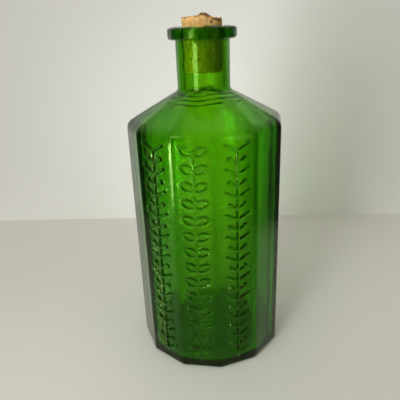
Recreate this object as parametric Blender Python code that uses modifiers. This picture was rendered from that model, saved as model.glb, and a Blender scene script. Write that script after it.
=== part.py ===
"""Twelve-sided medicine bottle in green glass, closed by a tapered cork.

Units are metres and +Z is up. The origin is the centre of the foot, and the
middle one of the three ornamented panels faces -Y.
"""

from math import atan, cos, pi, sin, tan

import bpy
from mathutils import Vector

# Panelled body. Radii of the body are measured from the axis to a corner.
PANELS = 12
BODY_RADIUS = 0.0444
BODY_TURN = pi / PANELS
SHOULDER_Z = 0.1418
SHOULDER_ROUND = 0.0060
FOOT_ROUND = 0.0020
CORNER_ROUND = 0.0070
CORNER_BEVEL_ANGLE = 0.44

# Round neck and collar lip
NECK_RADIUS = 0.0146
NECK_Z = 0.1578
NECK_FLARE = 0.0030
LIP_RADIUS = 0.0184
LIP_TOP = 0.1900
LIP_BOTTOM = 0.1837
LIP_ROUND = 0.0012

# Hollow inside
WALL = 0.0043
SHOULDER_WALL = 0.0036
FLOOR_Z = 0.0040
FLOOR_RISE = 0.0025
FLOOR_ROUND = 0.0045
INNER_SHOULDER_ROUND = 0.0043
INNER_NECK_ROUND = 0.0060
MOUTH_CHAMFER = 0.0006

# Dished underside, which leaves a flat ring to stand on
DISH_RADIUS = 0.0300
DISH_RISE = 0.0015

# Tapered cork stopper
CORK_TOP = 0.1960
CORK_BOTTOM = 0.1673
CORK_TOP_RADIUS = 0.0109
CORK_BOTTOM_RADIUS = 0.0102
CORK_CHAMFER = 0.0005
FIT_GAP = 0.0003

# Fineness
ROUND_STEPS = 48
ARC_STEPS = 5
WELD = 0.00001
CUT_MARGIN = 0.0020

GLASS_GREEN = (0.050, 0.240, 0.008, 1.0)
CORK_TAN = (0.480, 0.270, 0.130, 1.0)


def clear_scene():
    """Remove whatever the file was opened with."""
    for thing in list(bpy.data.objects):
        bpy.data.objects.remove(thing, do_unlink=True)


def new_collection(name):
    """Add a collection to the scene."""
    collection = bpy.data.collections.new(name)
    bpy.context.scene.collection.children.link(collection)
    return collection


def principled(name, colour, roughness, transmission=0.0):
    """A plain Principled material."""
    material = bpy.data.materials.new(name)
    material.use_nodes = True
    shader = material.node_tree.nodes["Principled BSDF"]
    shader.inputs["Base Color"].default_value = colour
    shader.inputs["Roughness"].default_value = roughness
    shader.inputs["Metallic"].default_value = 0.0
    shader.inputs["Transmission Weight"].default_value = transmission
    return material


def rounded(corner, before, after, radius, steps=ARC_STEPS):
    """Points of the arc that rounds a profile's corner, from one neighbour's side to the other's."""
    corner = Vector(corner)
    to_before = (Vector(before) - corner).normalized()
    to_after = (Vector(after) - corner).normalized()
    half = to_before.angle(to_after) / 2
    centre = corner + (to_before + to_after).normalized() * radius / sin(half)
    first = corner + to_before * radius / tan(half) - centre
    last = corner + to_after * radius / tan(half) - centre
    return [tuple(centre + radius * first.slerp(last, step / steps)) for step in range(steps + 1)]


def turned(name, profile, steps, collection, smooth=True):
    """Turn a profile of (radius, height) points, given top to bottom, about +Z."""
    mesh = bpy.data.meshes.new(name)
    edges = [(index, index + 1) for index in range(len(profile) - 1)]
    mesh.from_pydata([(radius, 0.0, height) for radius, height in profile], edges, [])
    solid = bpy.data.objects.new(name, mesh)
    collection.objects.link(solid)
    screw = solid.modifiers.new("turn", "SCREW")
    screw.steps = steps
    screw.render_steps = steps
    screw.use_merge_vertices = True
    screw.merge_threshold = WELD
    screw.use_smooth_shade = smooth
    return solid


def hide_cutter(solid):
    """Mark an object as a guide that is not part of the bottle."""
    solid.hide_render = True
    solid.display_type = "WIRE"


def combine(solid, other, operation):
    """Join or cut a solid with another one."""
    boolean = solid.modifiers.new(operation.lower(), "BOOLEAN")
    boolean.operation = operation
    boolean.solver = "EXACT"
    boolean.object = other
    hide_cutter(other)


def shoulder_slope():
    """Rise of the outer shoulder for each metre towards the axis."""
    return (NECK_Z - SHOULDER_Z) / (BODY_RADIUS - NECK_RADIUS)


def panelled_body(collection):
    """Twelve flat panels, the sloped shoulder above them and the rounded foot."""
    top_radius = NECK_RADIUS - FIT_GAP - WALL / 2
    top = (top_radius, NECK_Z + (NECK_RADIUS - top_radius) * shoulder_slope())
    shoulder = (BODY_RADIUS, SHOULDER_Z)
    foot = (BODY_RADIUS, 0.0)
    profile = [(0.0, top[1]), top]
    profile += rounded(shoulder, top, foot, SHOULDER_ROUND)
    profile += rounded(foot, shoulder, (0.0, 0.0), FOOT_ROUND)
    profile.append((0.0, 0.0))
    body = turned("glass_bottle", profile, PANELS, collection, smooth=False)
    body.rotation_euler.z = BODY_TURN
    bevel = body.modifiers.new("panel_corners", "BEVEL")
    bevel.width = CORNER_ROUND * tan(pi / PANELS)
    bevel.segments = 3
    bevel.limit_method = "ANGLE"
    bevel.angle_limit = CORNER_BEVEL_ANGLE
    return body


def neck_and_lip(collection):
    """Round neck that flares into the shoulder, with the flat collar lip on top."""
    flare_radius = NECK_RADIUS + 2 * NECK_FLARE
    flare_z = NECK_Z - 2 * NECK_FLARE * shoulder_slope()
    lip_top = (LIP_RADIUS, LIP_TOP)
    lip_bottom = (LIP_RADIUS, LIP_BOTTOM)
    under_lip = (NECK_RADIUS, LIP_BOTTOM)
    neck_foot = (NECK_RADIUS, NECK_Z)
    flare = (flare_radius, flare_z)
    profile = [(0.0, LIP_TOP)]
    profile += rounded(lip_top, (0.0, LIP_TOP), lip_bottom, LIP_ROUND, 3)
    profile += rounded(lip_bottom, lip_top, under_lip, LIP_ROUND, 3)
    profile += rounded(under_lip, lip_bottom, neck_foot, LIP_ROUND / 2, 2)
    profile += rounded(neck_foot, under_lip, flare, NECK_FLARE)
    profile += [(flare_radius, flare_z - WALL), (0.0, flare_z - WALL)]
    return turned("neck_and_lip", profile, ROUND_STEPS, collection)


def cork_radius(height):
    """Radius of the tapered cork at a height."""
    share = (height - CORK_BOTTOM) / (CORK_TOP - CORK_BOTTOM)
    return CORK_BOTTOM_RADIUS + share * (CORK_TOP_RADIUS - CORK_BOTTOM_RADIUS)


def hollow(collection):
    """Space inside the bottle, from above the mouth down to the floor."""
    bore_top = cork_radius(LIP_TOP) + FIT_GAP
    bore = CORK_BOTTOM_RADIUS + FIT_GAP
    inner_radius = BODY_RADIUS * cos(pi / PANELS) - WALL
    drop = SHOULDER_WALL / cos(atan(shoulder_slope()))
    mouth = [(0.0, LIP_TOP + CUT_MARGIN), (bore_top + MOUTH_CHAMFER, LIP_TOP + CUT_MARGIN)]
    mouth += [(bore_top + MOUTH_CHAMFER, LIP_TOP), (bore_top, LIP_TOP - MOUTH_CHAMFER)]
    cork_seat = (bore, CORK_BOTTOM)
    neck_foot = (bore, NECK_Z + (NECK_RADIUS - bore) * shoulder_slope() - drop)
    shoulder = (inner_radius, SHOULDER_Z + WALL * shoulder_slope() - drop)
    wall_foot = (inner_radius, FLOOR_Z)
    floor = (0.0, FLOOR_Z + FLOOR_RISE)
    profile = mouth + [cork_seat]
    profile += rounded(neck_foot, cork_seat, shoulder, INNER_NECK_ROUND)
    profile += rounded(shoulder, neck_foot, wall_foot, INNER_SHOULDER_ROUND)
    profile += rounded(wall_foot, shoulder, (0.0, FLOOR_Z), FLOOR_ROUND)
    profile += [(inner_radius / 2, FLOOR_Z + FLOOR_RISE / 3), floor]
    return turned("hollow", profile, ROUND_STEPS, collection)


def underside_dish(collection):
    """Shallow dome under the foot."""
    profile = [(0.0, DISH_RISE)]
    for step in range(1, ARC_STEPS + 1):
        share = step / ARC_STEPS
        profile.append((DISH_RADIUS * share, DISH_RISE * (1.0 - share * share)))
    profile += [(DISH_RADIUS, -CUT_MARGIN), (0.0, -CUT_MARGIN)]
    return turned("underside_dish", profile, ROUND_STEPS, collection)


def glass_bottle(parts, cutters):
    """The one piece of glass: body, shoulder, neck and lip, open at the mouth."""
    bottle = panelled_body(parts)
    combine(bottle, neck_and_lip(cutters), "UNION")
    combine(bottle, hollow(cutters), "DIFFERENCE")
    combine(bottle, underside_dish(cutters), "DIFFERENCE")
    bottle.data.materials.append(principled("green_glass", GLASS_GREEN, 0.05, 1.0))
    return bottle


def cork_stopper(parts):
    """Tapered cork. Its origin is on the axis that it is pulled out along."""
    chamfer = CORK_CHAMFER
    height = CORK_TOP - CORK_BOTTOM
    profile = [(0.0, height), (CORK_TOP_RADIUS - chamfer, height)]
    profile += [(CORK_TOP_RADIUS, height - chamfer), (CORK_BOTTOM_RADIUS, chamfer)]
    profile += [(CORK_BOTTOM_RADIUS - chamfer, 0.0), (0.0, 0.0)]
    cork = turned("cork_stopper", profile, ROUND_STEPS, parts)
    cork.location.z = CORK_BOTTOM
    cork.data.materials.append(principled("natural_cork", CORK_TAN, 0.85))
    return cork


def build():
    """Build the bottle and its stopper."""
    clear_scene()
    parts = new_collection("medicine_bottle")
    cutters = new_collection("medicine_bottle_cutters")
    glass_bottle(parts, cutters)
    cork_stopper(parts)


build()
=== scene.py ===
"""Looks of the twelve-sided green glass medicine bottle and its cork stopper.

Metres, +Z up. Azimuths are in radians about the axis, from -Y towards +X, so the
middle of the front panel is at azimuth 0.
"""

from math import atan, cos, pi, radians, sin, tan

import bmesh
import bpy
import numpy as np
from mathutils import Matrix, Vector, noise


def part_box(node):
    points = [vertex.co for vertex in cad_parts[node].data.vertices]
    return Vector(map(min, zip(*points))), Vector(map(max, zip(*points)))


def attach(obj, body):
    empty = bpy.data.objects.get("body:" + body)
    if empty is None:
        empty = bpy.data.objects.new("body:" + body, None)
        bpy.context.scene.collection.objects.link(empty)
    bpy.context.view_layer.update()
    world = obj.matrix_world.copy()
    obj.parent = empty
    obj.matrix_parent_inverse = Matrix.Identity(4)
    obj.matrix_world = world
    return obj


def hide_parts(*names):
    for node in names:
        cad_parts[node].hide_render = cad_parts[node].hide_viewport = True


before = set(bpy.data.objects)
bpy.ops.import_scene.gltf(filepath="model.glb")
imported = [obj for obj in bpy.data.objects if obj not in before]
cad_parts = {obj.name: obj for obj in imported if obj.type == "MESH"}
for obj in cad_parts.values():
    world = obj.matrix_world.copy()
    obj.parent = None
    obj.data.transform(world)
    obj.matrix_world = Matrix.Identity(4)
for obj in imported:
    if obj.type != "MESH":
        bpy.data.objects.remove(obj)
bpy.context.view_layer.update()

_, GLASS_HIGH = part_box("glass_bottle")
CORK_LOW, CORK_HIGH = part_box("cork_stopper")

# Glass: outer form. The apothem is the distance from the axis to the middle of a flat panel.
PANELS = 12
PANEL_ANGLE = 2 * pi / PANELS
APOTHEM = GLASS_HIGH.x
CORNER_ROUND = 0.0042
SHOULDER_Z = 0.1418
SHOULDER_ROUND = 0.0060
FOOT_ROUND = 0.0026
DISH_RADIUS = 0.0300
DISH_RISE = 0.0015
NECK_RADIUS = 0.0146
NECK_Z = 0.1578
NECK_FLARE = 0.0030
LIP_RADIUS = 0.0184
LIP_TOP = GLASS_HIGH.z
LIP_BOTTOM = 0.1837
LIP_ROUND = 0.0014
LIP_UNDERCUT = 0.0007
UNDER_LIP_ROUND = 0.0009
MOUTH_ROUND = 0.0008
OUTLINE_FADE_POWER = 2.5

# Glass: inner form. The hollow is a little narrower and off centre from left to right.
WALL = 0.0043
INNER_CORNER_ROUND = 0.0340
SHOULDER_WALL = 0.0036
INNER_SHOULDER_ROUND = 0.0043
INNER_NECK_ROUND = 0.0060
INNER_SHIFT = 0.0003
INNER_SQUEEZE = 0.030
FLOOR_Z = 0.0028
FLOOR_RISE = 0.0035
FLOOR_ROUND = 0.0032
BORE_GAP = 0.0003
BORE_RADIUS = 0.0105

# Broken rings inside the shoulder, placed by their distance from the axis. A term of a sum of
# lobes is (strength, lobes round the axis, radians of twist per metre outwards, phase).
RIPPLE_DEPTH = 0.00075
RIPPLE_PITCH = 0.0034
RIPPLE_FROM = 0.0112
RIPPLE_RISE = 0.002
RIPPLE_TO = 0.0225
RIPPLE_FALL = 0.006
RIPPLE_COVER = 0.45
RIPPLE_BREAKS = ((0.5, 3, 420.0, 0.0), (0.4, 8, 0.0, -1.9))
RIPPLE_WANDER = ((1.3, 2, 0.0, 0.7), (0.9, 5, 0.0, -1.2))
RIPPLE_SLOPE_SHARE = 0.42

# Unevenness left by the mould and the blowing, as sums of waves
WAVE_COUNT = 9
WAVE_PEAK = 5.0
WAVE_FULL_RADIUS = 0.02
OUTER_WAVE = 0.00008
OUTER_SEED = 11
INNER_WAVE = 0.00035
INNER_SEED = 23

# Fine upright streaks inside: the least and most of a wave round the glass, its radians per
# metre of height, and the distance from the axis where they start, in bore radii
INNER_STREAK = 0.00006
STREAK_SEED = 5
STREAKS_LEAST = 18
STREAKS_MOST = 42
STREAK_ALONG = 30.0
STREAK_START = 1.5

# Raised ornament on the three front panels
RELIEF_PANELS = (-1, 0, 1)
RELIEF_HEIGHT = 0.0012
RELIEF_HALF_WIDTH = 0.0074
RELIEF_LOW = 0.0075
RELIEF_HIGH = 0.1372
RELIEF_END_FADE = 0.001
RELIEF_SIDE_FADE = 0.0005
STROKE = 0.00068
STROKE_SIDE = 0.00030
PITCH = (RELIEF_HIGH - RELIEF_LOW) / 7
SPRIG_STEP = PITCH / 3
SPRIG_LEAN = radians(62)
LONG_BRANCH = 0.0076
STALK = 0.0050
BERRY_RADIUS = 0.0007
LAUREL_STEP = PITCH / 2
LEAF_LEAN = radians(64)
LEAF_LENGTH = 0.0078
LEAF_HALF_WIDTH = 0.0021

# Fineness of the glass mesh, in cells. Each coarse cell under the ornament is cut finer.
DISH_ROWS = 6
WALL_ROWS = 12
MARGIN_CELLS = 2
CORNER_CELLS = 7
RELIEF_CELLS = 4
FINE_ACROSS = 12
FINE_UP = 36
FINE_COLUMNS = RELIEF_CELLS * FINE_ACROSS + 1
FINE_ROWS = WALL_ROWS * FINE_UP + 1
WELD = 0.000001

# Cork: form. The taper is how much smaller the radius is at the bottom.
CORK_TAPER = 0.0007
CORK_CHAMFER = 0.0006
CORK_COLUMNS = 120
CORK_ROWS = 56
CORK_BOTTOM_RINGS = 6
CORK_TOP_RINGS = 22
CORK_TOP_SHARES = (0.985, 0.04)

# Cork: broken top. Places are to the right of the axis in the photograph, and a grain is
# (radians per metre in X, radians per metre in Y, phase).
TOP_WEAR = 0.0010
CRUMB_RISE = 0.0014
CRUMB_PLACE = 0.0012
CRUMB_HALF_WIDTH = 0.0024
RIGHT_DROP = 0.0013
RIGHT_PLACE = 0.0050
RIGHT_SOFTNESS = 0.0010
LEFT_DROP = 0.0004
LEFT_PLACE = -0.0072
LEFT_SOFTNESS = 0.0008
GRAINS_DEPTH = 0.00020
GRAINS = ((2100, 700, 0.0), (-2900, 1500, 1.0), (4300, 3700, 0.0))

# Cork: brown crust. A pit is (place to the right, depth below the CAD cork's top, size).
CORK_PITS = ((0.0047, 0.0039, 0.0005), (0.0092, 0.0030, 0.0006), (-0.0085, 0.0016, 0.0006))
PIT_DARKNESS = 1.6
CRUST_START = 0.85
CRUST_WIDTH = 0.0013
CRUST_PATCHES = 380.0
CRUST_PATCHINESS = 2.2
CRUST_MOST = 0.9

# Cork: grain and pores, as noise along X or Y and along Z
GRAIN_ACROSS = 420
GRAIN_UP = 260
GRAIN_STRENGTH = 0.5
FINE_GRAIN = 2.3
FINE_GRAIN_STRENGTH = 0.3
PORES_ACROSS = 700
PORES_UP = 500
PORES_SHIFT = 9
PORE_LEVEL = 0.28
SIDE_LEVEL = 0.4
SIDE_GRAIN = 0.00022
SIDE_PORES = 0.0016
SIDE_FULL_RADIUS = 0.008
TOP_GRAIN = 0.0007
TOP_PORES = 0.0022
TOP_REACH = 0.004
TOP_EDGE_SHARE = 0.99
ON_AXIS = 1e-6

# Camera
CAMERA_DISTANCE = 0.2499
CAMERA_HEIGHT = 0.1918
CAMERA_AZIMUTH = radians(8.94)
CAMERA_PITCH = radians(21.89)
CAMERA_TURN = radians(1.08)
CAMERA_ROLL = radians(-2.30)
CAMERA_LENS = 39.6

# Stage, with left and right as the camera sees them
FLOOR_FRONT = -0.42
FLOOR_LEFT = -0.25
FLOOR_RIGHT = 0.20
FLOOR_DROP = 0.0002
WALL_DISTANCE = 0.1790
WALL_HALF_WIDTH = 0.33
WALL_HEIGHT = 0.70
WALL_TURN = radians(-2.0)
LIGHT_AIM = Vector((0, 0, 0.1))

# Sockets of a colour Mix node
MIX_FACTOR, MIX_FIRST, MIX_SECOND = 0, 6, 7
MIX_RESULT = 2


# ---------------------------------------------------------------- outlines and waves


def fillet(corner, before, after, radius, steps):
    """Arc that rounds a profile's corner, from the side of one neighbour to the other."""
    corner = Vector(corner)
    to_before = (Vector(before) - corner).normalized()
    to_after = (Vector(after) - corner).normalized()
    half = to_before.angle(to_after) / 2
    centre = corner + (to_before + to_after).normalized() * radius / sin(half)
    first = corner + to_before * radius / tan(half) - centre
    last = corner + to_after * radius / tan(half) - centre
    return [tuple(centre + radius * first.slerp(last, k / steps)) for k in range(steps + 1)]


def line(start, end, steps):
    """Points strictly between two ends."""
    shares = [k / steps for k in range(1, steps)]
    return [tuple(Vector(start).lerp(Vector(end), share)) for share in shares]


def polygon_radius(azimuth, apothem, corner):
    """Distance from the axis to a twelve-sided outline with rounded corners."""
    off_middle = np.abs((azimuth + PANEL_ANGLE / 2) % PANEL_ANGLE - PANEL_ANGLE / 2)
    core = apothem - corner
    flat_end = np.arctan2(core * tan(PANEL_ANGLE / 2), apothem)
    reach = core / cos(PANEL_ANGLE / 2)
    off_corner = PANEL_ANGLE / 2 - off_middle
    inside = np.maximum(corner**2 - (reach * np.sin(off_corner)) ** 2, 0.0)
    rounded = reach * np.cos(off_corner) + np.sqrt(inside)
    return np.where(off_middle <= flat_end, apothem / np.cos(off_middle), rounded)


def waves(azimuth, height, seed, least_around=1, most_around=8, most_along=90.0):
    """Waves between about -1 and 1 over the glass, the same on each run."""
    total = np.zeros(np.broadcast(azimuth, height).shape)
    draw = np.random.default_rng(seed)
    for _ in range(WAVE_COUNT):
        around = draw.integers(least_around, most_around + 1)
        along = draw.uniform(-most_along, most_along)
        total += np.sin(around * azimuth + along * height + draw.uniform(0, 2 * pi))
    return total / WAVE_PEAK


def lobes(azimuth, radius, terms):
    """Sum of waves round the axis."""
    total = 0.0
    for strength, around, twist, phase in terms:
        total = total + strength * np.sin(around * azimuth + twist * radius + phase)
    return total


def to_the_right(x, y):
    """Distance of a point to the right of the axis, as the photograph shows it."""
    return x * cos(CAMERA_AZIMUTH) + y * sin(CAMERA_AZIMUTH)


# ---------------------------------------------------------------- ornament


def segment_distance(u, v, start, end):
    """Distance from points to a straight stroke."""
    du, dv = end[0] - start[0], end[1] - start[1]
    share = ((u - start[0]) * du + (v - start[1]) * dv) / (du * du + dv * dv)
    share = np.clip(share, 0.0, 1.0)
    return np.hypot(u - start[0] - share * du, v - start[1] - share * dv)


def leaf_distance(u, v, base, angle):
    """Distance to the outline of a pointed leaf that grows from a base at an angle."""
    du, dv = u - base[0], v - base[1]
    half = LEAF_LENGTH / 2
    along = du * cos(angle) + dv * sin(angle) - half
    across = np.abs(-du * sin(angle) + dv * cos(angle))
    radius = (half * half + LEAF_HALF_WIDTH * LEAF_HALF_WIDTH) / (2 * LEAF_HALF_WIDTH)
    outline = np.abs(np.hypot(along, across + radius - LEAF_HALF_WIDTH) - radius)
    beyond = np.hypot(np.abs(along) - half, across)
    return np.where(np.abs(along) > half, beyond, outline)


def branchings(step, reach):
    """Heights above the ornament's foot where something branches off, from the top down."""
    top = RELIEF_HIGH - RELIEF_LOW - reach
    return [top - k * step for k in range(int(top / step) + 1)]


def sprig(u, v):
    """Distance to a berry sprig: long branches, and berries on short stalks between them."""
    bases = branchings(SPRIG_STEP, LONG_BRANCH * cos(SPRIG_LEAN) + STROKE + STROKE_SIDE)
    nearest = segment_distance(u, v, (0.0, 0.0), (0.0, bases[0]))
    for turn, base in enumerate(bases):
        reach = LONG_BRANCH if turn % 2 == 0 else STALK
        for side in (1, -1):
            tip = (side * reach * sin(SPRIG_LEAN), base + reach * cos(SPRIG_LEAN))
            nearest = np.minimum(nearest, segment_distance(u, v, (0.0, base), tip))
            if reach == STALK:
                berry = np.hypot(u - tip[0], v - tip[1]) - BERRY_RADIUS
                nearest = np.minimum(nearest, np.maximum(berry, 0.0))
    return nearest


def laurel(u, v):
    """Distance to an upright spray: a straight stem with a pair of leaves at each joint."""
    bases = branchings(LAUREL_STEP, LEAF_LENGTH * cos(LEAF_LEAN) + LEAF_HALF_WIDTH)
    nearest = segment_distance(u, v, (0.0, 0.0), (0.0, bases[0]))
    for base in bases:
        for side in (1, -1):
            leaf = leaf_distance(u, v, (0.0, base), pi / 2 - side * LEAF_LEAN)
            nearest = np.minimum(nearest, leaf)
    return nearest


def relief_height(panel, u, height):
    """How far the ornament stands out of a panel, u metres from the panel's middle."""
    v = height - RELIEF_LOW
    nearest = laurel(u, v) if panel == 0 else sprig(u, v)
    ridge = np.clip((STROKE + STROKE_SIDE - nearest) / (2 * STROKE_SIDE), 0.0, 1.0)
    ridge = ridge * ridge * (3 - 2 * ridge)
    from_end = np.minimum(height - RELIEF_LOW, RELIEF_HIGH - height) / RELIEF_END_FADE
    from_side = (RELIEF_HALF_WIDTH - np.abs(u)) / RELIEF_SIDE_FADE
    return RELIEF_HEIGHT * ridge * np.clip(from_end, 0, 1) * np.clip(from_side, 0, 1)


# ---------------------------------------------------------------- glass mesh


def cork_radius(height):
    """Radius of the tapered cork at a height, from the CAD node's top and its taper."""
    share = (height - CORK_LOW.z) / (CORK_HIGH.z - CORK_LOW.z)
    return CORK_HIGH.x - CORK_TAPER * (1 - share)


def outer_profile():
    """(apothem, height) up the outside, from the dish to the lip, and the wall's first row."""
    slope_top = (NECK_RADIUS, NECK_Z)
    shoulder = (APOTHEM, SHOULDER_Z)
    foot = (APOTHEM, 0.0)
    under_lip = (NECK_RADIUS, LIP_BOTTOM + LIP_UNDERCUT)
    lip_low = (LIP_RADIUS, LIP_BOTTOM)
    lip_high = (LIP_RADIUS, LIP_TOP)
    shares = [k / DISH_ROWS for k in range(1, DISH_ROWS + 1)]
    points = [(DISH_RADIUS * share, DISH_RISE * (1 - share**2)) for share in shares]
    points += line((DISH_RADIUS, 0.0), (APOTHEM - FOOT_ROUND, 0.0), steps=4)
    points += fillet(foot, (0.0, 0.0), shoulder, FOOT_ROUND, steps=7)
    points += [(APOTHEM, RELIEF_LOW)]
    wall_row = len(points) - 1
    points += line((APOTHEM, RELIEF_LOW), (APOTHEM, RELIEF_HIGH), WALL_ROWS)
    points += [(APOTHEM, RELIEF_HIGH)]
    points += fillet(shoulder, foot, slope_top, SHOULDER_ROUND, steps=8)
    neck_bend = fillet(slope_top, shoulder, under_lip, NECK_FLARE, steps=8)
    points += line(points[-1], neck_bend[0], steps=12) + neck_bend
    lip_bend = fillet(under_lip, neck_bend[-1], lip_low, UNDER_LIP_ROUND, steps=4)
    points += line(neck_bend[-1], lip_bend[0], steps=8) + lip_bend
    points += fillet(lip_low, under_lip, lip_high, LIP_ROUND, steps=5)
    points += line(points[-1], (LIP_RADIUS, LIP_TOP - LIP_ROUND), steps=3)
    points += fillet(lip_high, lip_low, (0.0, LIP_TOP), LIP_ROUND, steps=6)
    return points, wall_row


def inner_profile():
    """(apothem, height) down the inside, from the lip's top to the floor."""
    share = (LIP_TOP - CORK_LOW.z) / (CORK_HIGH.z - CORK_LOW.z)
    bore_low = cork_radius(CORK_LOW.z) + BORE_GAP
    bore_top = bore_low + share * (CORK_HIGH.x - bore_low)
    inner = APOTHEM - WALL
    slope = (NECK_Z - SHOULDER_Z) / (APOTHEM - NECK_RADIUS)
    drop = SHOULDER_WALL / cos(atan(slope))
    mouth = (bore_top, LIP_TOP)
    seat = (bore_low, CORK_LOW.z)
    neck_foot = (bore_low, NECK_Z + (NECK_RADIUS - bore_low) * slope - drop)
    shoulder = (inner, SHOULDER_Z + WALL * slope - drop)
    wall_foot = (inner, FLOOR_Z)
    lip_edge = (LIP_RADIUS - LIP_ROUND, LIP_TOP)
    points = line(lip_edge, (bore_top + MOUTH_ROUND, LIP_TOP), steps=5)
    points += fillet(mouth, (LIP_RADIUS, LIP_TOP), seat, MOUTH_ROUND, steps=4)
    points += line(points[-1], seat, steps=5) + [seat]
    bend = fillet(neck_foot, seat, shoulder, INNER_NECK_ROUND, steps=8)
    points += line(seat, bend[0], steps=4) + bend
    corner = fillet(shoulder, neck_foot, wall_foot, INNER_SHOULDER_ROUND, steps=8)
    ripples_end = tuple(Vector(bend[-1]).lerp(Vector(corner[0]), RIPPLE_SLOPE_SHARE))
    points += line(bend[-1], ripples_end, steps=22) + [ripples_end]
    points += line(ripples_end, corner[0], steps=8) + corner
    heel = fillet(wall_foot, shoulder, (0.0, FLOOR_Z), FLOOR_ROUND, steps=8)
    points += line(corner[-1], heel[0], steps=18) + heel
    points += line(heel[-1], (0.0, FLOOR_Z + FLOOR_RISE), steps=6)
    return points


def roundness(radius, corner, neck):
    """Corner radius of the outline as the panels fade into the round neck."""
    share = np.clip((APOTHEM - radius) / (APOTHEM - neck), 0.0, 1.0)
    ratio = corner / APOTHEM
    return radius * (ratio + (1 - ratio) * share**OUTLINE_FADE_POWER)


def column_azimuths():
    """Azimuths of the mesh's columns once round, and each panel's first ornament column."""
    half_flat = atan((APOTHEM - CORNER_ROUND) * tan(PANEL_ANGLE / 2) / APOTHEM)
    half_relief = atan(RELIEF_HALF_WIDTH / APOTHEM)
    places = np.linspace(-RELIEF_HALF_WIDTH, RELIEF_HALF_WIDTH, RELIEF_CELLS + 1)
    margin = np.linspace(half_relief, half_flat, MARGIN_CELLS + 1)[1:]
    bend = np.linspace(half_flat, PANEL_ANGLE - half_flat, CORNER_CELLS + 1)[1:-1]
    panel = np.concatenate([-margin[::-1], np.arctan(places / APOTHEM), margin, bend])
    half_turn = PANELS // 2
    middles = [k * PANEL_ANGLE for k in range(-half_turn, half_turn)]
    starts = {k: MARGIN_CELLS + (k + half_turn) * len(panel) for k in RELIEF_PANELS}
    return np.concatenate([middle + panel for middle in middles]), starts


def glass_point(azimuth, apothem, height, corner, wave, seed):
    """World position of points on a twelve-sided outline with waves in it."""
    radius = polygon_radius(azimuth, apothem, corner)
    fade = np.clip(apothem / WAVE_FULL_RADIUS, 0.0, 1.0)
    radius = radius + wave * fade * waves(azimuth, height, seed)
    x = radius * np.sin(azimuth)
    y = -radius * np.cos(azimuth)
    return np.stack([x, y, np.broadcast_to(height, x.shape)], axis=-1)


def relief_patch(panel):
    """Fine grid of points over a panel's ornament, its edges on the coarse columns and rows."""
    middle = panel * PANEL_ANGLE
    across = np.linspace(-RELIEF_HALF_WIDTH, RELIEF_HALF_WIDTH, FINE_COLUMNS)
    up = np.linspace(RELIEF_LOW, RELIEF_HIGH, FINE_ROWS)
    azimuth, height = np.meshgrid(middle + np.arctan(across / APOTHEM), up)
    points = glass_point(azimuth, APOTHEM, height, CORNER_ROUND, OUTER_WAVE, OUTER_SEED)
    lift = relief_height(panel, np.broadcast_to(across, azimuth.shape), height)
    points[..., 0] += lift * sin(middle)
    points[..., 1] -= lift * cos(middle)
    return points


def neck_ripple(azimuth, radius, height):
    """How far broken rings round the foot of the neck lift the inside of the shoulder."""
    rise = np.clip((radius - RIPPLE_FROM) / RIPPLE_RISE, 0, 1)
    fall = np.clip((RIPPLE_TO - radius) / RIPPLE_FALL, 0, 1)
    broken = np.clip(RIPPLE_COVER + lobes(azimuth, radius, RIPPLE_BREAKS), 0, 1)
    wander = lobes(azimuth, radius, RIPPLE_WANDER)
    wave = np.sin(2 * pi * radius / RIPPLE_PITCH + wander)
    return RIPPLE_DEPTH * (rise * fall) * broken * (height > SHOULDER_Z) * wave


def outside_points(azimuths, profile):
    """Grid of points over the outside, with a row for each point of its profile."""
    radius, height = np.array(profile).T[..., None]
    corner = roundness(radius, CORNER_ROUND, NECK_RADIUS)
    corner[:DISH_ROWS] = radius[:DISH_ROWS]
    return glass_point(azimuths, radius, height, corner, OUTER_WAVE, OUTER_SEED)


def inside_points(azimuths, profile):
    """Grid of points over the inside: squeezed from left to right, ringed and streaked."""
    radius, height = np.array(profile).T[..., None]
    corner = roundness(radius, INNER_CORNER_ROUND, BORE_RADIUS)
    points = glass_point(azimuths, radius, height, corner, INNER_WAVE, INNER_SEED)
    away = np.clip((radius - NECK_RADIUS) / (APOTHEM - WALL - NECK_RADIUS), 0, 1)
    points[..., 0] = points[..., 0] * (1 - INNER_SQUEEZE * away) + INNER_SHIFT * away
    points[..., 2] += neck_ripple(azimuths, radius, height)
    wide = np.clip(radius / BORE_RADIUS - STREAK_START, 0, 1)
    streaks = waves(azimuths, height, STREAK_SEED, STREAKS_LEAST, STREAKS_MOST, STREAK_ALONG)
    streak = INNER_STREAK * wide * streaks
    points[..., 0] += streak * np.sin(azimuths)
    points[..., 1] -= streak * np.cos(azimuths)
    return points


def mesh_object(name, vertices, faces, smooth=True):
    """A mesh object in the scene's main collection."""
    mesh = bpy.data.meshes.new(name)
    mesh.from_pydata(vertices, [], faces)
    mesh.validate()
    mesh.polygons.foreach_set("use_smooth", [smooth] * len(mesh.polygons))
    mesh.update()
    thing = bpy.data.objects.new(name, mesh)
    bpy.context.scene.collection.objects.link(thing)
    return thing


def grid_faces(rows, columns, start):
    """Quads of an open grid of points that starts at a vertex."""
    faces = []
    for row in range(rows - 1):
        for column in range(columns - 1):
            corner = start + row * columns + column
            faces.append((corner, corner + 1, corner + columns + 1, corner + columns))
    return faces


def on_patch(row, column, wall_row, starts):
    """Whether a coarse cell is one that a fine patch stands for."""
    if not wall_row <= row < wall_row + WALL_ROWS:
        return False
    return any(start <= column < start + RELIEF_CELLS for start in starts.values())


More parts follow.
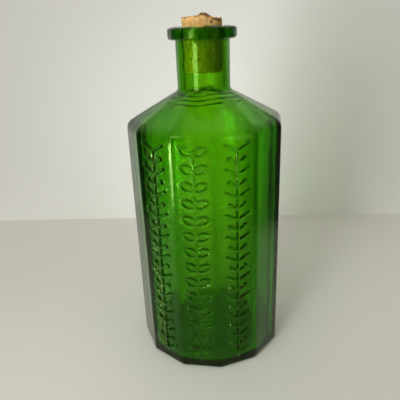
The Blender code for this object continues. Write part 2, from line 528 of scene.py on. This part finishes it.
def cell_outline(row, column, columns, wall_row, starts, patches):
    """Outline of a coarse cell, taking in the fine vertices on an edge shared with a patch."""
    following = (column + 1) % columns
    low_left, low_right = 1 + row * columns + column, 1 + row * columns + following
    high_left, high_right = low_left + columns, low_right + columns
    top_start = (FINE_ROWS - 1) * FINE_COLUMNS
    wall_offset = row - wall_row
    bottom, right, top, left = [], [], [], []
    for panel, start in starts.items():
        patch = patches[panel]
        over = column - start
        if 0 <= over < RELIEF_CELLS:
            along = range(over * FINE_ACROSS + 1, (over + 1) * FINE_ACROSS)
            if wall_offset == WALL_ROWS:
                bottom = [patch + top_start + k for k in along]
            if wall_offset == -1:
                top = [patch + k for k in reversed(along)]
        if 0 <= wall_offset < WALL_ROWS:
            along = range(wall_offset * FINE_UP + 1, (wall_offset + 1) * FINE_UP)
            if over == -1:
                right = [patch + k * FINE_COLUMNS for k in along]
            if over == RELIEF_CELLS:
                left = [patch + (k + 1) * FINE_COLUMNS - 1 for k in reversed(along)]
    return (low_left, *bottom, low_right, *right, high_right, *top, high_left, *left)


def weld(thing):
    """Join vertices that coincide, drop the ones no face uses and cut long outlines up."""
    work = bmesh.new()
    work.from_mesh(thing.data)
    bmesh.ops.delete(work, geom=[v for v in work.verts if not v.link_faces], context="VERTS")
    bmesh.ops.remove_doubles(work, verts=work.verts, dist=WELD)
    bmesh.ops.triangulate(work, faces=[f for f in work.faces if len(f.verts) > 4])
    work.to_mesh(thing.data)
    work.free()


def build_glass():
    """The bottle's glass as one closed skin: outside, lip, bore, hollow and floor."""
    azimuths, starts = column_azimuths()
    columns = len(azimuths)
    outer, wall_row = outer_profile()
    inner = inner_profile()
    grid = np.concatenate([outside_points(azimuths, outer), inside_points(azimuths, inner)])
    rows = len(grid)
    vertices = [(0.0, 0.0, DISH_RISE)]
    vertices += grid.reshape(-1, 3).tolist()
    vertices += [(0.0, 0.0, FLOOR_Z + FLOOR_RISE)]
    patches = {}
    faces = []
    for panel in RELIEF_PANELS:
        patches[panel] = len(vertices)
        vertices += relief_patch(panel).reshape(-1, 3).tolist()
        faces += grid_faces(FINE_ROWS, FINE_COLUMNS, patches[panel])
    for row in range(rows - 1):
        for column in range(columns):
            if not on_patch(row, column, wall_row, starts):
                faces.append(cell_outline(row, column, columns, wall_row, starts, patches))
    top = 1 + (rows - 1) * columns
    centre = top + columns
    faces += [(0, 1 + (c + 1) % columns, 1 + c) for c in range(columns)]
    faces += [(centre, top + c, top + (c + 1) % columns) for c in range(columns)]
    glass = mesh_object("bottle_glass", vertices, faces)
    weld(glass)
    return glass


# ---------------------------------------------------------------- cork mesh


def cork_top(x, y):
    """Height of the broken top: level on the left, a crumb in the middle, lower on the right."""
    across = to_the_right(x, y)
    crumb = CRUMB_RISE / (1 + ((across - CRUMB_PLACE) / CRUMB_HALF_WIDTH) ** 4)
    right = -RIGHT_DROP / (1 + np.exp(-(across - RIGHT_PLACE) / RIGHT_SOFTNESS))
    left = -LEFT_DROP / (1 + np.exp((across - LEFT_PLACE) / LEFT_SOFTNESS))
    grains = sum(np.sin(in_x * x + in_y * y + phase) for in_x, in_y, phase in GRAINS)
    return CORK_HIGH.z - TOP_WEAR + crumb + left + right + GRAINS_DEPTH * grains


def cork_rows():
    """(radii, heights) of each ring of points, from the bottom's middle to the top's."""
    azimuth = np.linspace(0, 2 * pi, CORK_COLUMNS, endpoint=False)
    low = CORK_LOW.z
    edge = cork_radius(low)
    once_round = np.ones(CORK_COLUMNS)
    rows = []
    for k in range(1, CORK_BOTTOM_RINGS + 1):
        radius = k / CORK_BOTTOM_RINGS * (edge - CORK_CHAMFER)
        rows.append((radius * once_round, low * once_round))
    rim = cork_top(edge * np.sin(azimuth), -edge * np.cos(azimuth)) - CORK_CHAMFER
    for share in np.linspace(0.0, 1.0, CORK_ROWS):
        height = low + CORK_CHAMFER + share * (rim - low - CORK_CHAMFER)
        rows.append((cork_radius(height), height))
    for share in np.linspace(*CORK_TOP_SHARES, CORK_TOP_RINGS):
        radius = share * cork_radius(CORK_HIGH.z)
        height = cork_top(radius * np.sin(azimuth), -radius * np.cos(azimuth))
        rows.append((radius * once_round, height))
    return azimuth, rows


def build_cork():
    """Tapered cork with a worn, crumbled top, pores and slightly uneven sides."""
    azimuth, rows = cork_rows()
    vertices = [Vector((0, 0, CORK_LOW.z))]
    for radii, heights in rows:
        for a, radius, height in zip(azimuth, radii, heights):
            vertices.append(Vector((radius * sin(a), -radius * cos(a), height)))
    vertices.append(Vector((0, 0, cork_top(0.0, 0.0))))
    vertices = [roughen_cork(v) for v in vertices]
    last = len(vertices) - 1
    top = last - CORK_COLUMNS
    faces = []
    for c in range(CORK_COLUMNS):
        d = (c + 1) % CORK_COLUMNS
        faces.append((0, 1 + d, 1 + c))
        for low in range(1, top, CORK_COLUMNS):
            high = low + CORK_COLUMNS
            faces.append((low + c, low + d, high + d, high + c))
        faces.append((last, top + c, top + d))
    cork = mesh_object("cork", [tuple(v) for v in vertices], faces)
    crust = cork.data.attributes.new("crust", "FLOAT", "POINT")
    crust.data.foreach_set("value", [crust_share(v) for v in vertices])
    return cork


def crust_share(point):
    """How dark the cork is at a point: its broken rim and three pits in front are brown."""
    radius = Vector((point.x, point.y)).length
    below_top = max(0.0, cork_top(point.x, point.y) - point.z)
    from_rim = Vector((cork_radius(point.z) - radius, below_top)).length
    patchy = noise.noise(point * CRUST_PATCHES)
    dark = CRUST_START - from_rim / CRUST_WIDTH + CRUST_PATCHINESS * patchy
    across = to_the_right(point.x, point.y)
    if point.y * cos(CAMERA_AZIMUTH) - point.x * sin(CAMERA_AZIMUTH) < 0:
        for place, depth, size in CORK_PITS:
            away = Vector((across - place, CORK_HIGH.z - depth - point.z)).length
            dark = max(dark, PIT_DARKNESS - away / size)
    return min(1.0, max(0.0, dark)) * CRUST_MOST


def roughen_cork(point):
    """Move a point of the cork in by its pores and grain, never outwards at the bore."""
    x, y, z = point
    radius = Vector((x, y)).length
    stretched = Vector((x * GRAIN_ACROSS, y * GRAIN_ACROSS, z * GRAIN_UP))
    grain = noise.noise(stretched) * GRAIN_STRENGTH
    grain += noise.noise(stretched * FINE_GRAIN) * FINE_GRAIN_STRENGTH
    porous = Vector((x * PORES_ACROSS, y * PORES_ACROSS, z * PORES_UP + PORES_SHIFT))
    pores = max(0.0, noise.noise(porous) - PORE_LEVEL)
    moved = point.copy()
    if radius > ON_AXIS:
        inward = SIDE_GRAIN * max(0.0, SIDE_LEVEL + grain) + SIDE_PORES * pores
        share = min(1.0, radius / SIDE_FULL_RADIUS)
        moved.x -= x / radius * inward * share
        moved.y -= y / radius * inward * share
    if z > CORK_HIGH.z - TOP_REACH and radius < CORK_HIGH.x * TOP_EDGE_SHARE:
        moved.z += TOP_GRAIN * grain - TOP_PORES * pores
    return moved


# ---------------------------------------------------------------- materials


def new_material(name):
    """A material, its node tree and its Principled node."""
    material = bpy.data.materials.new(name)
    material.use_nodes = True
    tree = material.node_tree
    return material, tree, tree.nodes["Principled BSDF"]


def node(tree, kind, **values):
    """A shader node with its plain properties set."""
    made = tree.nodes.new(kind)
    for key, value in values.items():
        setattr(made, key, value)
    return made


def noise_texture(tree, where, scale, detail, roughness=0.5, axes=(1, 1, 1)):
    """Noise over object space, with its own scale along each axis."""
    place = node(tree, "ShaderNodeMapping")
    place.inputs["Scale"].default_value = axes
    tree.links.new(where.outputs["Object"], place.inputs["Vector"])
    texture = node(tree, "ShaderNodeTexNoise")
    texture.inputs["Scale"].default_value = scale
    texture.inputs["Detail"].default_value = detail
    texture.inputs["Roughness"].default_value = roughness
    tree.links.new(place.outputs["Vector"], texture.inputs["Vector"])
    return texture


def ramp(tree, source, stops):
    """Colour ramp from (position, colour) stops."""
    made = node(tree, "ShaderNodeValToRGB")
    elements = made.color_ramp.elements
    while len(elements) < len(stops):
        elements.new(0.5)
    for element, (position, colour) in zip(elements, stops):
        element.position = position
        element.color = (*colour, 1.0)
    tree.links.new(source, made.inputs["Fac"])
    return made


def bump_node(tree, height, strength, distance):
    """Bump from a height."""
    bump = node(tree, "ShaderNodeBump")
    bump.inputs["Strength"].default_value = strength
    bump.inputs["Distance"].default_value = distance
    tree.links.new(height, bump.inputs["Height"])
    return bump


def glass_material():
    """Clear green glass, tinted through its thickness, with faint ripples."""
    material, tree, shader = new_material("green_glass")
    shader.inputs["Transmission Weight"].default_value = 1.0
    shader.inputs["IOR"].default_value = 1.52
    shader.inputs["Specular Tint"].default_value = (0.35, 0.60, 0.12, 1.0)
    where = node(tree, "ShaderNodeTexCoord")
    smear = noise_texture(tree, where, scale=60.0, detail=3.0, axes=(1, 1, 0.35))
    stops = [(0.3, (0.93, 1.0, 0.90)), (0.7, (0.97, 1.0, 0.95))]
    tint = ramp(tree, smear.outputs["Fac"], stops)
    tree.links.new(tint.outputs["Color"], shader.inputs["Base Color"])
    haze = node(tree, "ShaderNodeMapRange")
    haze.inputs["To Min"].default_value = 0.0
    haze.inputs["To Max"].default_value = 0.015
    tree.links.new(smear.outputs["Fac"], haze.inputs["Value"])
    tree.links.new(haze.outputs["Result"], shader.inputs["Roughness"])
    ripple = noise_texture(tree, where, scale=210.0, detail=2.0, axes=(1, 1, 0.6))
    drag = noise_texture(tree, where, scale=130.0, detail=3.0, roughness=0.6, axes=(1, 1, 6))
    both = node(tree, "ShaderNodeMath", operation="ADD")
    tree.links.new(ripple.outputs["Fac"], both.inputs[0])
    tree.links.new(drag.outputs["Fac"], both.inputs[1])
    slow = bump_node(tree, both.outputs["Value"], strength=0.30, distance=0.0003)
    grain = noise_texture(tree, where, scale=750.0, detail=2.0)
    fine = bump_node(tree, grain.outputs["Fac"], strength=0.35, distance=0.00010)
    tree.links.new(slow.outputs["Normal"], fine.inputs["Normal"])
    tree.links.new(fine.outputs["Normal"], shader.inputs["Normal"])
    absorb = node(tree, "ShaderNodeVolumeAbsorption")
    absorb.inputs["Color"].default_value = (0.630, 0.853, 0.010, 1.0)
    absorb.inputs["Density"].default_value = 705.0
    output = tree.nodes["Material Output"]
    tree.links.new(absorb.outputs["Volume"], output.inputs["Volume"])
    return material


def cork_material():
    """Natural cork: tan with darker grain, dark pores and a brown crust."""
    material, tree, shader = new_material("natural_cork")
    shader.inputs["Roughness"].default_value = 0.85
    where = node(tree, "ShaderNodeTexCoord")
    grain = noise_texture(
        tree, where, scale=620.0, detail=6.0, roughness=0.65, axes=(1, 1, 0.22)
    )
    base = ramp(tree, grain.outputs["Fac"], [
        (0.25, (0.40, 0.18, 0.045)),
        (0.42, (0.74, 0.41, 0.14)),
        (0.58, (0.91, 0.55, 0.22)),
        (0.80, (0.95, 0.64, 0.31)),
    ])
    pores = node(tree, "ShaderNodeTexVoronoi")
    pores.inputs["Scale"].default_value = 300.0
    tree.links.new(where.outputs["Object"], pores.inputs["Vector"])
    stops = [(0.10, (0.0, 0.0, 0.0)), (0.26, (1.0, 1.0, 1.0))]
    mask = ramp(tree, pores.outputs["Distance"], stops)
    porous = node(tree, "ShaderNodeMix", data_type="RGBA", blend_type="MULTIPLY")
    porous.inputs[MIX_FACTOR].default_value = 0.60
    tree.links.new(base.outputs["Color"], porous.inputs[MIX_FIRST])
    tree.links.new(mask.outputs["Color"], porous.inputs[MIX_SECOND])
    crust = node(tree, "ShaderNodeAttribute", attribute_name="crust")
    aged = node(tree, "ShaderNodeMix", data_type="RGBA", blend_type="MIX")
    tree.links.new(crust.outputs["Fac"], aged.inputs[MIX_FACTOR])
    tree.links.new(porous.outputs[MIX_RESULT], aged.inputs[MIX_FIRST])
    aged.inputs[MIX_SECOND].default_value = (0.045, 0.016, 0.006, 1.0)
    tree.links.new(aged.outputs[MIX_RESULT], shader.inputs["Base Color"])
    bump = bump_node(tree, grain.outputs["Fac"], strength=0.6, distance=0.0004)
    tree.links.new(bump.outputs["Normal"], shader.inputs["Normal"])
    return material


def stage_material():
    """Pale matte paper, clear from behind so that it hides nothing."""
    material, tree, shader = new_material("pale_paper")
    shader.inputs["Base Color"].default_value = (0.74, 0.735, 0.715, 1.0)
    shader.inputs["Roughness"].default_value = 0.9
    shader.inputs["Specular IOR Level"].default_value = 0.2
    side = node(tree, "ShaderNodeNewGeometry")
    clear = node(tree, "ShaderNodeBsdfTransparent")
    mix = node(tree, "ShaderNodeMixShader")
    tree.links.new(side.outputs["Backfacing"], mix.inputs["Fac"])
    tree.links.new(shader.outputs["BSDF"], mix.inputs[1])
    tree.links.new(clear.outputs["BSDF"], mix.inputs[2])
    tree.links.new(mix.outputs["Shader"], tree.nodes["Material Output"].inputs["Surface"])
    return material


# ---------------------------------------------------------------- stage, light, camera


def build_stage():
    """A pale floor and the wall behind it, turned to face the camera."""
    floor = [
        (FLOOR_LEFT, FLOOR_FRONT, 0),
        (FLOOR_RIGHT, FLOOR_FRONT, 0),
        (FLOOR_RIGHT, WALL_DISTANCE, 0),
        (FLOOR_LEFT, WALL_DISTANCE, 0),
    ]
    wall = [
        (-WALL_HALF_WIDTH, WALL_DISTANCE, 0),
        (WALL_HALF_WIDTH, WALL_DISTANCE, 0),
        (WALL_HALF_WIDTH, WALL_DISTANCE, WALL_HEIGHT),
        (-WALL_HALF_WIDTH, WALL_DISTANCE, WALL_HEIGHT),
    ]
    paper = stage_material()
    turn = Matrix.Rotation(CAMERA_AZIMUTH + WALL_TURN, 4, "Z")
    place = turn @ Matrix.Translation((0, 0, -FLOOR_DROP))
    for name, corners in (("floor", floor), ("backdrop", wall)):
        placed = [tuple(place @ Vector(corner)) for corner in corners]
        thing = mesh_object(name, placed, [(0, 1, 2, 3)], smooth=False)
        thing.data.materials.append(paper)


def area_light(name, azimuth, elevation, distance, width, height, power, spread=180):
    """A rectangular light aimed at the bottle's middle.

    The angles are in degrees, and the azimuth is counted from the camera's.
    """
    lamp = bpy.data.lights.new(name, "AREA")
    lamp.shape = "RECTANGLE"
    lamp.size = width
    lamp.size_y = height
    lamp.energy = power
    lamp.spread = radians(spread)
    thing = bpy.data.objects.new(name, lamp)
    bpy.context.scene.collection.objects.link(thing)
    around = CAMERA_AZIMUTH + radians(azimuth)
    level = distance * cos(radians(elevation))
    rise = distance * sin(radians(elevation))
    thing.location = LIGHT_AIM + Vector((level * sin(around), -level * cos(around), rise))
    thing.rotation_euler = (LIGHT_AIM - thing.location).to_track_quat("-Z", "Y").to_euler()


def build_light():
    """A tall window and three low lights to the left, a faint window right, and the room."""
    area_light("window", azimuth=-33, elevation=22, distance=1.50,
               width=0.44, height=1.40, power=9.2)
    area_light("sill", azimuth=-33, elevation=-1, distance=0.90,
               width=0.26, height=0.20, power=1.4)
    area_light("low_window", azimuth=-49, elevation=-11, distance=0.30,
               width=0.24, height=0.075, power=0.13, spread=70)
    area_light("glint", azimuth=-48, elevation=-7, distance=0.29,
               width=0.14, height=0.02, power=0.05, spread=70)
    area_light("far_window", azimuth=45, elevation=8, distance=0.90,
               width=0.04, height=0.50, power=0.30)
    world = bpy.data.worlds.new("surround")
    world.use_nodes = True
    tree = world.node_tree
    shade = tree.nodes["Background"]
    shade.inputs["Color"].default_value = (1.0, 0.97, 0.78, 1.0)
    where = node(tree, "ShaderNodeTexCoord")
    split = node(tree, "ShaderNodeSeparateXYZ")
    rise = node(tree, "ShaderNodeMapRange", interpolation_type="SMOOTHSTEP")
    rise.inputs["From Min"].default_value = 0.00
    rise.inputs["From Max"].default_value = 0.70
    rise.inputs["To Min"].default_value = 0.10
    rise.inputs["To Max"].default_value = 0.59
    tree.links.new(where.outputs["Generated"], split.inputs["Vector"])
    tree.links.new(split.outputs["Z"], rise.inputs["Value"])
    tree.links.new(rise.outputs["Result"], shade.inputs["Strength"])
    bpy.context.scene.world = world


def build_camera():
    """Camera just above the height of the lip, looking down at the body."""
    data = bpy.data.cameras.new("camera")
    data.sensor_width = 36.0
    data.lens = CAMERA_LENS
    camera = bpy.data.objects.new("camera", data)
    bpy.context.scene.collection.objects.link(camera)
    place = Vector((sin(CAMERA_AZIMUTH), -cos(CAMERA_AZIMUTH), 0)) * CAMERA_DISTANCE
    place.z = CAMERA_HEIGHT
    camera.matrix_world = (
        Matrix.Translation(place)
        @ Matrix.Rotation(CAMERA_AZIMUTH + CAMERA_TURN, 4, "Z")
        @ Matrix.Rotation(pi / 2 - CAMERA_PITCH, 4, "X")
        @ Matrix.Rotation(CAMERA_ROLL, 4, "Z")
    )
    bpy.context.scene.camera = camera


def set_look():
    """Plain colours, and enough bounces for four walls of glass."""
    scene = bpy.context.scene
    scene.view_settings.view_transform = "Standard"
    scene.cycles.max_bounces = 24
    scene.cycles.transmission_bounces = 24
    scene.cycles.glossy_bounces = 12
    scene.cycles.caustics_refractive = True
    scene.cycles.caustics_reflective = True
    scene.cycles.blur_glossy = 0.3


def main():
    """Build the pieces and the stage."""
    glass = build_glass()
    glass.data.materials.append(glass_material())
    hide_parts("glass_bottle")
    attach(glass, "bottle")
    cork = build_cork()
    cork.data.materials.append(cork_material())
    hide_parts("cork_stopper")
    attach(cork, "stopper")
    build_stage()
    build_light()
    build_camera()
    set_look()


main()
